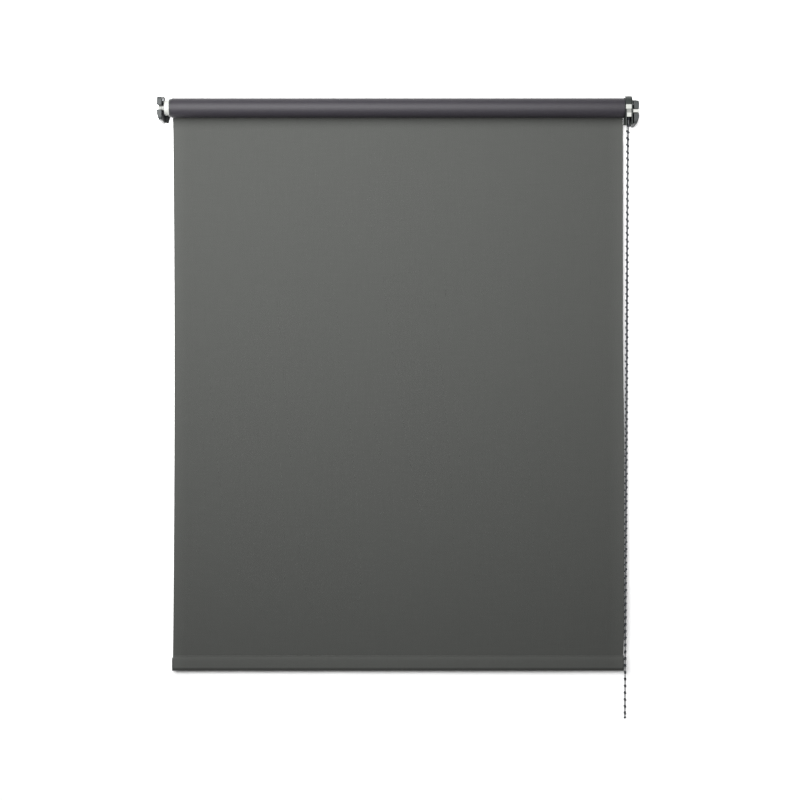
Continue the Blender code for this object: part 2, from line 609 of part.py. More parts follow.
def build_clutch():
    """The clutch's fixed pieces: housing, back plate, spindle, springs and screw."""
    base = group_empty("clutch_group", (0, AXIS_Y, 0))
    shell = plate("clutch_housing", clutch_outline(0), CLUTCH_START, CLUTCH_END)
    housing = add_object("clutch_housing", shell, GREY_PLASTIC, base)
    soften(housing, 0.0006, 2, 60)
    inner_face = CLUTCH_START + CLUTCH_WALL
    past = CLUTCH_END + 0.01
    cavity = plate("cavity", clutch_outline(CLUTCH_WALL, 0.01), inner_face, past)
    combine(housing, cavity, "DIFFERENCE", "tool_cavity")
    hub_hole = rod("hub", CLUTCH_START - 0.01, CLUTCH_END, SLEEVE_RADIUS + GAP, 0, 0, 32)
    combine(housing, hub_hole, "DIFFERENCE", "tool_hub")
    opening_low = -SKIRT_DROP - 0.01
    opening = block("opening", (inner_face, -0.05, opening_low), (past, -FRONT_OPENING, BAND_TOP + GAP))
    combine(housing, opening, "DIFFERENCE", "tool_opening")
    seat_back = -BAND_FRONT + BAND_THICKNESS + GAP
    band_seat = block("band_seat", (CLUTCH_START - 0.01, -0.05, BAND_BOTTOM - GAP),
                      (past, seat_back, BAND_TOP + GAP))
    combine(housing, band_seat, "DIFFERENCE", "tool_band_seat")

    band = block("clutch_front_clip", (CLUTCH_START, -BAND_FRONT, BAND_BOTTOM),
                 (CLUTCH_END, -BAND_FRONT + BAND_THICKNESS, BAND_TOP))
    clip = add_object("clutch_front_clip", band, WHITE_PLASTIC, base)
    tongue_back = -TONGUE_FRONT + TONGUE_THICKNESS
    tongue_start = inner_face + GAP
    tongue = block("tongue", (tongue_start, -TONGUE_FRONT, TONGUE_BOTTOM),
                   (CLUTCH_END - GAP, tongue_back, BAND_BOTTOM + BAND_THICKNESS / 2))
    combine(clip, tongue, "UNION", "tool_clip_tongue")
    groove = block("groove", (tongue_start - 0.001, -BAND_FRONT - 0.001, BAND_BOTTOM - TONGUE_GROOVE),
                   (past, -TONGUE_FRONT + TONGUE_GROOVE_DEPTH, BAND_BOTTOM))
    combine(clip, groove, "DIFFERENCE", "tool_clip_groove")
    soften(clip, 0.0003, 2, 60)

    plate_mesh = plate("clutch_back_plate", clutch_outline(0), BACK_PLATE_START, BACK_PLATE_END)
    back = add_object("clutch_back_plate", plate_mesh, GREY_PLASTIC, base)
    bore_tool = rod("bore", BACK_PLATE_START - 0.01, BACK_PLATE_END + 0.01, SPINDLE_RADIUS + GAP, 0, 0)
    combine(back, bore_tool, "DIFFERENCE", "tool_back_bore")

    plug_back = TUBE_END - PLUG_LENGTH + END_WALL
    base_radius = SPINDLE_RADIUS + SPINDLE_BASE_RIM
    bore = SPINDLE_SCREW_RADIUS + GAP
    bore_end = plug_back + SPINDLE_SCREW_LENGTH + 0.001
    spindle = [
        (plug_back, bore), (plug_back, SPINDLE_RADIUS), (SPINDLE_BASE_START, SPINDLE_RADIUS),
        (SPINDLE_BASE_START, base_radius), (SPINDLE_BASE_END, base_radius), (SPINDLE_BASE_END, 0),
        (bore_end, 0), (bore_end, bore),
    ]
    shaft = add_object("clutch_spindle", turned("clutch_spindle", spindle, 32), WHITE_PLASTIC, base)
    lug_low = SLOT_FLOOR - CHAIN_BRACKET_DROP + GAP
    lug = block("lug", (SPINDLE_BASE_END - SPINDLE_BASE_THICKNESS / 2, -LUG_PAST_AXIS, lug_low),
                (COVER_FACE - GAP, SEAT_REACH - GAP, lug_low + LUG_HEIGHT))
    combine(shaft, lug, "UNION", "tool_lug")

    spring_radius = SPINDLE_RADIUS + GAP + CLUTCH_SPRING_WIRE
    start = plug_back + 2 * END_WALL
    for i, label in enumerate(("inner", "outer")):
        begin = start + i * (CLUTCH_SPRING_LENGTH + 0.002)
        points = coil_points(begin, begin + CLUTCH_SPRING_LENGTH, spring_radius, CLUTCH_SPRING_TURNS, 14)
        wire("clutch_spring_" + label, points, CLUTCH_SPRING_WIRE, BRIGHT_METAL, base, 1)

    head_end = plug_back - GAP
    head = head_end - 0.0022
    screw = [
        (head, 0), (head, SPINDLE_SCREW_HEAD - 0.001), (head + 0.001, SPINDLE_SCREW_HEAD),
        (head_end, SPINDLE_SCREW_HEAD), (head_end, SPINDLE_SCREW_RADIUS),
        (plug_back + SPINDLE_SCREW_LENGTH, SPINDLE_SCREW_RADIUS), (plug_back + SPINDLE_SCREW_LENGTH, 0),
    ]
    add_object("spindle_screw", turned("spindle_screw", screw, SMALL_SIDES), BRIGHT_METAL, base)


# ---- cloth, bottom bar and chain ----------------------------------------------------
def build_cloth():
    half = CLOTH_THICKNESS / 2
    sheet = block("fabric_drop", (-HALF_CLOTH, -half, HEM_TOP + GAP), (HALF_CLOTH, half, 0))
    add_object("fabric_drop", sheet, CLOTH_FACE, None, (0, SHEET_Y, 0))


def build_bottom_bar():
    """The hem pocket, the bar inside it and its two end caps ride up and down together."""
    lift = group_empty("bottom_bar_group", (0, SHEET_Y, HEM_TOP))
    centre = (0, -HEM_HEIGHT + HEM_BODY / 2)
    outer = stadium(centre, HEM_BODY, HEM_THICKNESS)
    inner = stadium(centre, HEM_BODY - 2 * CLOTH_THICKNESS, HEM_THICKNESS - 2 * CLOTH_THICKNESS)
    pocket_mesh = sleeve("hem_pocket", outer, inner, -HALF_CLOTH, HALF_CLOTH)
    pocket = add_object("hem_pocket", pocket_mesh, CLOTH_FACE, lift)
    seam_low = (-HALF_CLOTH, -CLOTH_THICKNESS, HEM_BODY - HEM_HEIGHT - CLOTH_THICKNESS / 2)
    seam = block("seam", seam_low, (HALF_CLOTH, CLOTH_THICKNESS, 0))
    combine(pocket, seam, "UNION", "tool_seam")

    rod_outer = stadium(centre, BAR_HEIGHT, BAR_THICKNESS)
    rod_inner = stadium(centre, BAR_HEIGHT - 2 * BAR_WALL, BAR_THICKNESS - 2 * BAR_WALL)
    bar_mesh = sleeve("bottom_bar", rod_outer, rod_inner, -HALF_CLOTH, HALF_CLOTH)
    add_object("bottom_bar", bar_mesh, BRIGHT_METAL, lift)

    tongue = stadium(centre, BAR_HEIGHT - 2 * (BAR_WALL + GAP), BAR_THICKNESS - 2 * (BAR_WALL + GAP))
    for label, side in (("left", -1), ("right", 1)):
        name = "bar_cap_" + label
        near = side * (HALF_CLOTH + GAP)
        far = side * (HALF_CLOTH + GAP + CAP_THICKNESS)
        cap = add_object(name, plate(name, outer, near, far), GREY_PLASTIC, lift)
        inside = side * (HALF_CLOTH - CAP_TONGUE)
        combine(cap, plate("tongue", tongue, inside, (near + far) / 2), "UNION", "tool_tongue_" + label)


def build_chain():
    wire("bead_chain", smooth_route(CHAIN_ROUTE), CHAIN_RADIUS, CHAIN_PLASTIC, None)
    lift = GAP / 2
    turn = [
        (CHAIN_X, AXIS_Y + y, z)
        for y, z in [(-CHAIN_PITCH_RADIUS, lift)] + arc((0, 0), CHAIN_PITCH_RADIUS, pi * 0.95, pi * 0.05, 14)
        + [(CHAIN_PITCH_RADIUS, lift)]
    ]
    wire("chain_over_sprocket", turn, CHAIN_RADIUS, CHAIN_PLASTIC, None)


def main():
    for old in list(bpy.data.objects):
        bpy.data.objects.remove(old, do_unlink=True)
    build_bracket("left", -1, 0)
    build_bracket("right", 1, -CHAIN_BRACKET_DROP)
    axis = group_empty("roller_axis", (0, AXIS_Y, 0))
    build_tube(axis)
    build_idle_end(axis)
    build_drive_end(axis)
    build_clutch()
    build_cloth()
    build_bottom_bar()
    build_chain()


main()
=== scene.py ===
from math import cos, pi, radians, sin

import bpy
import numpy as np
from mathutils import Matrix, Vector


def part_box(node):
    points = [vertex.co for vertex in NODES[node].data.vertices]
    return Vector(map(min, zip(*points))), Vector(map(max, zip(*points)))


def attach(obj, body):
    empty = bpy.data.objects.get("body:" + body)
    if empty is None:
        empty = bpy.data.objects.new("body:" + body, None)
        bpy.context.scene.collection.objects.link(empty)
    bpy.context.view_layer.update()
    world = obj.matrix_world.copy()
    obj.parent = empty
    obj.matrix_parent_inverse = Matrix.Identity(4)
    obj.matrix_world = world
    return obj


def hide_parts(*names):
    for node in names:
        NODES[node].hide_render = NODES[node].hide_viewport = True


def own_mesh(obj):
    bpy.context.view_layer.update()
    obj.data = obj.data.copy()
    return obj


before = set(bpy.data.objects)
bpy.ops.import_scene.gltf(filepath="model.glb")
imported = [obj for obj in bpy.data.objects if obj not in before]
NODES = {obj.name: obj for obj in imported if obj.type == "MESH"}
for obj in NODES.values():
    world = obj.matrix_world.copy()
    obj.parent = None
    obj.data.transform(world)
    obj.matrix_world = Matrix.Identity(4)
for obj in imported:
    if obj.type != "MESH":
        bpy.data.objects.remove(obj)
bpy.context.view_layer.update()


# ---- places read from the frame, in metres -----------------------------------------
SHEET_LOW, SHEET_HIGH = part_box("fabric_drop")
ROLL_LOW, ROLL_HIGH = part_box("fabric_roll")
TUBE_LOW, TUBE_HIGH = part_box("roller_tube")
HEM_LOW, HEM_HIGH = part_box("hem_pocket")
AXIS_Y = (ROLL_LOW[1] + ROLL_HIGH[1]) / 2
ROLL_RADIUS = (ROLL_HIGH[2] - ROLL_LOW[2]) / 2
TUBE_RADIUS = (TUBE_HIGH[2] - TUBE_LOW[2]) / 2
HALF_CLOTH = SHEET_HIGH[0]
SHEET_Y = (SHEET_LOW[1] + SHEET_HIGH[1]) / 2
HEM_TOP = HEM_HIGH[2]
HEM_BOTTOM = HEM_LOW[2]

# ---- the camera --------------------------------------------------------------------
CAMERA_DISTANCE = 3.0         # from the cloth
CAMERA_X = 0.0037
CAMERA_Z = -0.5161
LENS_MM = 75.92
SENSOR_MM = 36


def add_camera():
    data = bpy.data.cameras.new("camera")
    data.lens = LENS_MM
    data.sensor_width = SENSOR_MM
    data.clip_end = 20 * CAMERA_DISTANCE
    camera = bpy.data.objects.new("camera", data)
    camera.location = (CAMERA_X, SHEET_Y - CAMERA_DISTANCE, CAMERA_Z)
    camera.rotation_euler = (pi / 2, 0, 0)
    bpy.context.collection.objects.link(camera)
    bpy.context.scene.camera = camera


# ---- materials ---------------------------------------------------------------------
class Shader:
    """A Principled material with short calls for the nodes that feed it."""

    def __init__(self, name, roughness=0.5, metallic=0.0, specular=0.5):
        self.material = bpy.data.materials.new(name)
        self.material.use_nodes = True
        self.tree = self.material.node_tree
        self.principled = self.tree.nodes["Principled BSDF"]
        self.set("Roughness", roughness)
        self.set("Metallic", metallic)
        self.set("Specular IOR Level", specular)
        self.place = self.node("ShaderNodeTexCoord").outputs["Object"]

    def set(self, socket, value):
        self.principled.inputs[socket].default_value = value

    def node(self, kind, **settings):
        made = self.tree.nodes.new(kind)
        for key, value in settings.items():
            setattr(made, key, value)
        return made

    def link(self, source, target):
        self.tree.links.new(source, target)

    def maths(self, operation, first, second=0.0):
        made = self.node("ShaderNodeMath", operation=operation)
        for socket, value in zip(made.inputs, (first, second)):
            if isinstance(value, (int, float)):
                socket.default_value = value
            else:
                self.link(value, socket)
        return made.outputs[0]

    def stretched(self, scale):
        made = self.node("ShaderNodeMapping")
        made.inputs["Scale"].default_value = scale
        self.link(self.place, made.inputs["Vector"])
        return made.outputs["Vector"]

    def noise(self, scale, detail=2.0, stretch=(1, 1, 1)):
        made = self.node("ShaderNodeTexNoise")
        made.inputs["Scale"].default_value = scale
        made.inputs["Detail"].default_value = detail
        self.link(self.stretched(stretch), made.inputs["Vector"])
        return made.outputs["Fac"]

    def ramp(self, factor, low, high, start=0.3, end=0.7):
        made = self.node("ShaderNodeValToRGB")
        made.color_ramp.elements[0].position = start
        made.color_ramp.elements[1].position = end
        made.color_ramp.elements[0].color = (*low, 1)
        made.color_ramp.elements[1].color = (*high, 1)
        self.link(factor, made.inputs["Fac"])
        return made.outputs["Color"]

    def mix(self, factor, first, second, blend="MIX"):
        made = self.node("ShaderNodeMix", data_type="RGBA", blend_type=blend)
        for socket, value in ((made.inputs[0], factor), (made.inputs[6], first), (made.inputs[7], second)):
            if isinstance(value, (int, float)):
                socket.default_value = value
            elif isinstance(value, tuple):
                socket.default_value = (*value, 1)
            else:
                self.link(value, socket)
        return made.outputs[2]

    def colour(self, source):
        self.link(source, self.principled.inputs["Base Color"])

    def roughness(self, factor, low, high):
        made = self.node("ShaderNodeMapRange")
        made.inputs["To Min"].default_value = low
        made.inputs["To Max"].default_value = high
        self.link(factor, made.inputs["Value"])
        self.link(made.outputs["Result"], self.principled.inputs["Roughness"])

    def bump(self, height, distance, strength=1.0):
        made = self.node("ShaderNodeBump")
        made.inputs["Distance"].default_value = distance
        made.inputs["Strength"].default_value = strength
        self.link(height, made.inputs["Height"])
        self.link(made.outputs["Normal"], self.principled.inputs["Normal"])


def scaled(colour, factor):
    return tuple(c * factor for c in colour)


def grey(level):
    return (level, level, level)


SHINE = 0.12                  # specular level of the matt plastics and the coats
THREAD = 0.0009               # thread spacing of the cloth
THREAD_SHADES = (0.91, 1.09)  # darkest and palest squares of the thread check
SLUB_SHADES = (0.955, 1.045)  # the same for the slubs
WEAVE_DEPTH = 0.00010
PAINTED_SIDE_LIGHT_WIDTH = 0.028             # painted light: the cloth is coloured a little lighter within this far of its cut sides
PAINTED_SIDE_LIGHT_GAIN = 1.13             # painted light: the colour's gain at the cut itself
FINE_GRAIN = 2600             # noise scale of a spark-eroded mould
SHADE_BAND_BLUR = 0.0006          # half the height over which the clip's painted shade of a hollow fades in


def cloth(name, colour, around_roll=False, roughness=0.9, specular=0.15):
    """Plain weave: threads cross in a fine check, with faint slubs along both directions."""
    made = Shader(name, roughness=roughness, specular=specular)
    split = made.node("ShaderNodeSeparateXYZ")
    made.link(made.place, split.inputs[0])
    across = made.maths("SINE", made.maths("MULTIPLY", split.outputs["X"], 2 * pi / THREAD))
    if around_roll:
        turn = made.maths("ARCTAN2", split.outputs["Z"], made.maths("SUBTRACT", split.outputs["Y"], AXIS_Y))
        along = made.maths("MULTIPLY", turn, ROLL_RADIUS)
    else:
        along = split.outputs["Z"]
    down = made.maths("SINE", made.maths("MULTIPLY", along, 2 * pi / THREAD))
    check = made.maths("MULTIPLY", across, down)
    slub_across = made.noise(60, 3, (0.5, 1, 22))
    slub_down = made.noise(60, 3, (22, 1, 0.5))
    slubs = made.maths("ADD", slub_across, slub_down)
    uneven = made.maths("MULTIPLY", slubs, 0.5)
    dark, pale = (scaled(colour, shade) for shade in SLUB_SHADES)
    base = made.ramp(uneven, dark, pale, 0.36, 0.64)
    dark, pale = (grey(shade) for shade in THREAD_SHADES)
    half_check = made.maths("MULTIPLY", check, 0.5)
    threads = made.ramp(made.maths("ADD", half_check, 0.5), dark, pale, 0.0, 1.0)
    woven = made.mix(1.0, base, threads, "MULTIPLY")
    # painted light: the hanging cloth is coloured lighter towards its cut sides
    if not around_roll:
        side = made.node("ShaderNodeMapRange", interpolation_type="SMOOTHSTEP")
        side.inputs["From Min"].default_value = HALF_CLOTH - PAINTED_SIDE_LIGHT_WIDTH
        side.inputs["From Max"].default_value = HALF_CLOTH
        made.link(made.maths("ABSOLUTE", split.outputs["X"]), side.inputs["Value"])
        painted_side_light = made.ramp(side.outputs["Result"], grey(1.0), grey(PAINTED_SIDE_LIGHT_GAIN), 0.0, 1.0)
        woven = made.mix(1.0, woven, painted_side_light, "MULTIPLY")
    made.colour(woven)
    made.bump(made.maths("ADD", half_check, slubs), WEAVE_DEPTH, 0.5)
    return made.material


def moulded_plastic(name, colour, roughness=0.4, grain=0.00004):
    """Moulded plastic with a fine spark-eroded grain and faint flow clouds."""
    made = Shader(name, roughness=roughness, specular=SHINE)
    clouds = made.noise(70, 3)
    fine = made.noise(FINE_GRAIN)
    scuffs = made.noise(240, 5, (1, 1, 3))
    made.colour(made.ramp(clouds, scaled(colour, 0.93), scaled(colour, 1.07)))
    made.roughness(scuffs, roughness - 0.07, roughness + 0.1)
    made.bump(made.maths("ADD", fine, made.maths("MULTIPLY", clouds, 0.5)), grain)
    return made.material


def plastic_with_painted_shade(name, colour, shade, low, high):
    """The white clip: moulded plastic coloured duller between two heights, as painted shade of a hollow."""
    made = Shader(name, roughness=0.35, specular=SHINE)
    split = made.node("ShaderNodeSeparateXYZ")
    made.link(made.place, split.inputs[0])
    hollow = made.node("ShaderNodeMapRange", interpolation_type="SMOOTHSTEP")
    hollow.inputs["From Min"].default_value = (high - low) / 2 + SHADE_BAND_BLUR
    hollow.inputs["From Max"].default_value = (high - low) / 2 - SHADE_BAND_BLUR
    middle = made.maths("SUBTRACT", split.outputs["Z"], (low + high) / 2)
    made.link(made.maths("ABSOLUTE", middle), hollow.inputs["Value"])
    clouds = made.ramp(made.noise(70, 3), scaled(colour, 0.93), scaled(colour, 1.07))
    painted_hollow_shade = made.ramp(hollow.outputs["Result"], grey(1.0), grey(shade), 0.0, 1.0)
    made.colour(made.mix(1.0, clouds, painted_hollow_shade, "MULTIPLY"))
    made.bump(made.noise(FINE_GRAIN), 0.00004)
    return made.material


def powder_coat(name, colour, roughness=0.45):
    """Powder-coated steel: an orange-peel skin with small speckles."""
    made = Shader(name, roughness=roughness, specular=SHINE)
    peel = made.noise(900)
    speckle = made.noise(3000, 1)
    made.colour(made.ramp(speckle, scaled(colour, 0.85), scaled(colour, 1.15), 0.35, 0.65))
    made.roughness(peel, roughness - 0.06, roughness + 0.08)
    made.bump(peel, 0.00005)
    return made.material


def drawn_metal(name, colour, roughness=0.3):
    """Bare metal with drawing lines along X and a few stains."""
    made = Shader(name, roughness=roughness, metallic=1.0)
    lines = made.noise(90, 4, (0.4, 40, 40))
    stains = made.noise(40, 3)
    made.colour(made.ramp(stains, scaled(colour, 0.9), colour))
    made.roughness(lines, roughness - 0.08, roughness + 0.12)
    made.bump(lines, 0.00003)
    return made.material


CLOTH_FACE_COLOUR = (0.0373, 0.0386, 0.0364)
CLOTH_REVERSE_COLOUR = (0.0145, 0.0131, 0.0166)
WHITE_COLOUR = (0.275, 0.281, 0.266)
CLIP_SHADE_HEIGHTS = (-0.0115, -0.0047)  # heights between which the clip is coloured duller, as painted shade of a hollow
CLIP_SHADE = 0.50

LOOKS = {
    "face": cloth("cloth_face", CLOTH_FACE_COLOUR),
    "hem_face": cloth("cloth_hem_face", scaled(CLOTH_FACE_COLOUR, 1.16)),
    "reverse": cloth("cloth_reverse", scaled(CLOTH_REVERSE_COLOUR, 1.5)),
    "wound_reverse": cloth("cloth_wound_reverse", CLOTH_REVERSE_COLOUR, True, 0.52, 0.23),
    "wound_face": cloth("cloth_wound_face", CLOTH_FACE_COLOUR, True),
    "cut_edge": cloth("cloth_cut_edge", scaled(CLOTH_FACE_COLOUR, 1.1)),
    # painted shade: the hem's turned-under foot is coloured darker than the cloth
    "hem_underside_painted_shade": cloth("cloth_hem_underside_painted_shade", scaled(CLOTH_FACE_COLOUR, 0.66)),
    "weld": cloth("cloth_weld", scaled(CLOTH_FACE_COLOUR, 1.22)),
    "bracket": powder_coat("bracket_coat", (0.009, 0.010, 0.010)),
    "cover": moulded_plastic("cover_plastic", (0.031, 0.034, 0.034)),
    "clutch": moulded_plastic("clutch_plastic", (0.020, 0.023, 0.022)),
    "cap": moulded_plastic("cap_plastic", (0.028, 0.030, 0.029)),
    "white": moulded_plastic("white_plastic", WHITE_COLOUR, 0.35),
    "clip": plastic_with_painted_shade("clip_plastic_painted_shade", WHITE_COLOUR, CLIP_SHADE, *CLIP_SHADE_HEIGHTS),
    "black": moulded_plastic("black_plastic", (0.005, 0.005, 0.006)),
    "bead": moulded_plastic("bead_plastic", (0.019, 0.021, 0.025), 0.3, 0.00002),
    "link": moulded_plastic("link_plastic", (0.085, 0.088, 0.092), 0.4, 0.00002),
    "tube": powder_coat("tube_lacquer", (0.022, 0.022, 0.024), 0.35),
    "screw": drawn_metal("zinc_plate", (0.30, 0.31, 0.32), 0.28),
    "spring": drawn_metal("spring_wire", (0.26, 0.27, 0.28), 0.25),
    "aluminium": drawn_metal("mill_aluminium", (0.32, 0.33, 0.34), 0.32),
}


# ---- mesh helpers ------------------------------------------------------------------
def make_piece(name, vertices, faces, looks, indices=None, smooth_angle=40):
    mesh = bpy.data.meshes.new(name)
    mesh.from_pydata([tuple(v) for v in vertices], [], faces)
    for look in looks:
        mesh.materials.append(LOOKS[look])
    if indices is not None:
        mesh.polygons.foreach_set("material_index", indices)
    mesh.shade_smooth()
    mesh.set_sharp_from_angle(angle=radians(smooth_angle))
    mesh.update()
    piece = bpy.data.objects.new(name, mesh)
    bpy.context.collection.objects.link(piece)
    return piece


def slab(name, centre, normal, thickness, looks):
    """A closed sheet from grids of centre points and unit normals. looks: normal side, other side, rim."""
    rows, columns = centre.shape[:2]
    count = rows * columns
    upper = (centre + normal * thickness / 2).reshape(-1, 3)
    lower = (centre - normal * thickness / 2).reshape(-1, 3)
    number = np.arange(count).reshape(rows, columns)
    faces, indices = [], []

    def quad(a, b, c, d, index):
        faces.append((int(a), int(b), int(c), int(d)))
        indices.append(index)

    for i in range(rows - 1):
        for j in range(columns - 1):
            a, b, c, d = number[i, j], number[i, j + 1], number[i + 1, j + 1], number[i + 1, j]
            quad(a, b, c, d, 0)
            quad(d + count, c + count, b + count, a + count, 1)
    rim = (
        list(number[0, :]) + list(number[1:, -1]) + list(number[-1, -2::-1]) + list(number[-2:0:-1, 0])
    )
    for a, b in zip(rim, rim[1:] + rim[:1]):
        quad(b, a, a + count, b + count, 2)
    return make_piece(name, np.vstack([upper, lower]), faces, looks, indices)


def tube_of_rings(name, rings, looks, bands=None):
    """Joins rings of points into one closed skin with flat ends. bands: the look of each band."""
    sides = len(rings[0])
    vertices = [p for ring in rings for p in ring]
    faces = []
    for i in range(len(rings) - 1):
        for j in range(sides):
            k = (j + 1) % sides
            faces.append((i * sides + j, i * sides + k, (i + 1) * sides + k, (i + 1) * sides + j))
    faces.append(tuple(range(sides))[::-1])
    faces.append(tuple(range((len(rings) - 1) * sides, len(rings) * sides)))
    indices = None
    if bands is not None:
        indices = [band for band in bands for _ in range(sides)] + [bands[0], bands[-1]]
    return make_piece(name, vertices, faces, looks, indices, 60)


# ---- the bead chain ----------------------------------------------------------------
# The hanging loop, from the front of the sprocket down and back up behind it.
# Each point is x, y, z and the number of steps to the next one.
CHAIN_ROUTE = [
    (0.4063, -0.0420, -0.00015, 3),
    (0.4061, -0.0420, -0.0330, 3),
    (0.4052, -0.0420, -0.0900, 7),
    (0.4042, -0.0421, -0.3300, 7),
    (0.4027, -0.0421, -0.6300, 7),
    (0.4007, -0.0420, -0.9300, 5),
    (0.3995, -0.0418, -1.0400, 4),
    (0.4000, -0.0385, -1.0670, 3),
    (0.4013, -0.0300, -1.0773, 3),
    (0.4026, -0.0215, -1.0670, 4),
    (0.4031, -0.0184, -1.0400, 5),
    (0.4034, -0.0181, -0.9300, 7),
    (0.4042, -0.0180, -0.6300, 7),
    (0.4056, -0.0180, -0.3300, 7),
    (0.4070, -0.0180, -0.0900, 3),
    (0.4067, -0.0180, -0.0330, 3),
    (0.4063, -0.0180, -0.00015, 0),
]
BEAD_RADIUS = 0.00225
THREAD_RADIUS = 0.0010        # the cord between the beads
BEAD_PITCH = 0.012
PITCH_RADIUS = 0.012          # of the chain on its sprocket
BEADS_IN_ROUND = 6
FIRST_BEAD = radians(165)     # from the wall side, up and over to the front
BEAD_SIDES = 12
BEAD_RINGS = 9
ROUTE_FINER = 8               # each step of the route is cut into this many
ARC_POINTS = 61


def smooth_route(route, finer):
    """The same smooth curve as the design's, with each step cut into finer ones."""
    places = [Vector(stop[:3]) for stop in route]
    points = []
    for i, stop in enumerate(route[:-1]):
        a, b = places[i], places[i + 1]
        span = (b - a).length
        enter = (b - places[i - 1]).normalized() if i else (b - a).normalized()
        last = i + 2 >= len(places)
        leave = (b - a).normalized() if last else (places[i + 2] - a).normalized()
        steps = stop[3] * finer
        for k in range(steps):
            t = k / steps
            points.append(
                (2 * t**3 - 3 * t**2 + 1) * a
                + (t**3 - 2 * t**2 + t) * span * enter
                + (3 * t**2 - 2 * t**3) * b
                + (t**3 - t**2) * span * leave
            )
    return np.array([tuple(p) for p in points + [places[-1]]])


def beads_along(name, points, first, spacing, count):
    """Round beads on a thin cord: one skin whose radius swells at each bead.
    Returns it, the line through its middle and that line's length."""
    steps = np.linalg.norm(np.diff(points, axis=0), axis=1)
    length = np.concatenate([[0], np.cumsum(steps)])
    meet = np.degrees(np.arcsin(THREAD_RADIUS / BEAD_RADIUS))
    stations = [(0.0, THREAD_RADIUS)]
    for k in range(count):
        middle = first + k * spacing
        for turn in np.radians(np.linspace(meet, 180 - meet, BEAD_RINGS)):
            stations.append((middle - BEAD_RADIUS * cos(turn), BEAD_RADIUS * sin(turn)))
    stations.append((length[-1], THREAD_RADIUS))
    stations = [s for s in stations if 0 <= s[0] <= length[-1]]
    line = np.array([[np.interp(s, length, points[:, axis]) for axis in range(3)] for s, _ in stations])
    rings = []
    for i, (at, radius) in enumerate(stations):
        ahead = line[min(i + 1, len(line) - 1)] - line[max(i - 1, 0)]
        ahead = ahead / np.linalg.norm(ahead)
        side = np.array((1.0, 0, 0)) - ahead[0] * ahead
        side = side / np.linalg.norm(side)
        up = np.cross(ahead, side)
        rings.append([
            line[i] + radius * (cos(2 * pi * k / BEAD_SIDES) * side + sin(2 * pi * k / BEAD_SIDES) * up)
            for k in range(BEAD_SIDES)
        ])
    thin = [radius < THREAD_RADIUS * 1.01 for _, radius in stations]
    bands = [1 if a and b else 0 for a, b in zip(thin, thin[1:])]
    return tube_of_rings(name, rings, ["bead", "link"], bands), line, length[-1]


def add_chain():
    points = smooth_route(CHAIN_ROUTE, ROUTE_FINER)
    total = float(np.linalg.norm(np.diff(points, axis=0), axis=1).sum())
    turn_step = 2 * pi / BEADS_IN_ROUND
    # from the wheel's bead nearest the route's start to that start
    before = ((pi - FIRST_BEAD) / turn_step) * BEAD_PITCH
    first = BEAD_PITCH - before
    # from the route's end to the wheel's bead nearest it
    after = BEAD_PITCH * ((FIRST_BEAD - 2 * turn_step) / turn_step)
    usable = total - first - (BEAD_PITCH - after)
    count = round(usable / BEAD_PITCH) + 1
    hanging, line, length = beads_along("bead_chain_hanging", points, first, usable / (count - 1), count)
    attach(hanging, "mounting")
    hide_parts("bead_chain")

    centre_x = CHAIN_ROUTE[0][0]
    arc = np.array([
        (centre_x, AXIS_Y + PITCH_RADIUS * cos(turn), PITCH_RADIUS * sin(turn))
        for turn in np.linspace(pi, 0, ARC_POINTS)
    ])
    first_on_wheel = PITCH_RADIUS * (pi - FIRST_BEAD)
    wheel, line, length = beads_along(
        "bead_chain_on_sprocket", arc, first_on_wheel, PITCH_RADIUS * turn_step, BEADS_IN_ROUND // 2
    )
    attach(wheel, "mounting")
    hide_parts("chain_over_sprocket")


# ---- the cloth ---------------------------------------------------------------------
CLOTH_THICKNESS = 0.0005
LEFT_DRAW = 0.0028            # how far the left side draws in at mid height
RIGHT_FLARE = 0.0026          # how far the right side stands out below mid height
FLARE_FROM = 0.38             # share of the drop where it starts to stand out
FLARE_FULL = 0.66             # and where it stands out in full
EDGE_CURL = 0.0012            # how far the cut edges curl towards the room
CURL_WIDTH = 0.010
SETTLED_AT = 0.25             # share of the drop where the cloth has come from the roll to its own plane
WIDE_WAVE = 0.0005
SMALL_WAVE = 0.0003
HEM_LAP = 0.0003              # the cloth's foot goes this far into the hem
SIDE_CROWDING = 1.35          # above 1, the mesh is finer near the cut sides
ROLL_TURNS = 2.4              # turns of cloth left on the tube
ROLL_STEPS = 64               # steps in a turn
CLOTH_SHARE = 0.86            # of the roll's room; the rest is air between the turns
ROLL_GAP = 0.0001             # between the tube and the cloth
ROLL_INSET = 0.0006           # how far the wound cloth stands in from the hanging one's sides


def eased(value, start, end):
    """0 before start, 1 after end and smooth between them."""
    t = min(1.0, max(0.0, (value - start) / (end - start)))
    return t * t * (3 - 2 * t)


def hanging_shape(across, down):
    """Place of a point of the hanging cloth; across is -1 to 1, down is 0 to 1."""
    left = -HALF_CLOTH + LEFT_DRAW * max(0.0, sin(pi * down)) ** 0.85
    back_in = 1 - 0.8 * eased(down, 0.95, 1.0)
    right = HALF_CLOTH + RIGHT_FLARE * eased(down, FLARE_FROM, FLARE_FULL) * back_in
    x = left + (right - left) * (across + 1) / 2
    z = down * (HEM_TOP - HEM_LAP)
    tangent_y = AXIS_Y + ROLL_RADIUS - CLOTH_THICKNESS / 2
    y = tangent_y + (SHEET_Y - tangent_y) * min(1.0, down / SETTLED_AT)
    free = sin(pi * down)
    edge = (1 - abs(across)) * HALF_CLOTH
    y -= EDGE_CURL * free * np.exp(-edge / CURL_WIDTH)
    y += WIDE_WAVE * free * sin(5.3 * across + 1.1) + SMALL_WAVE * free * sin(11.7 * across - 3 * down)
    return x, y, z


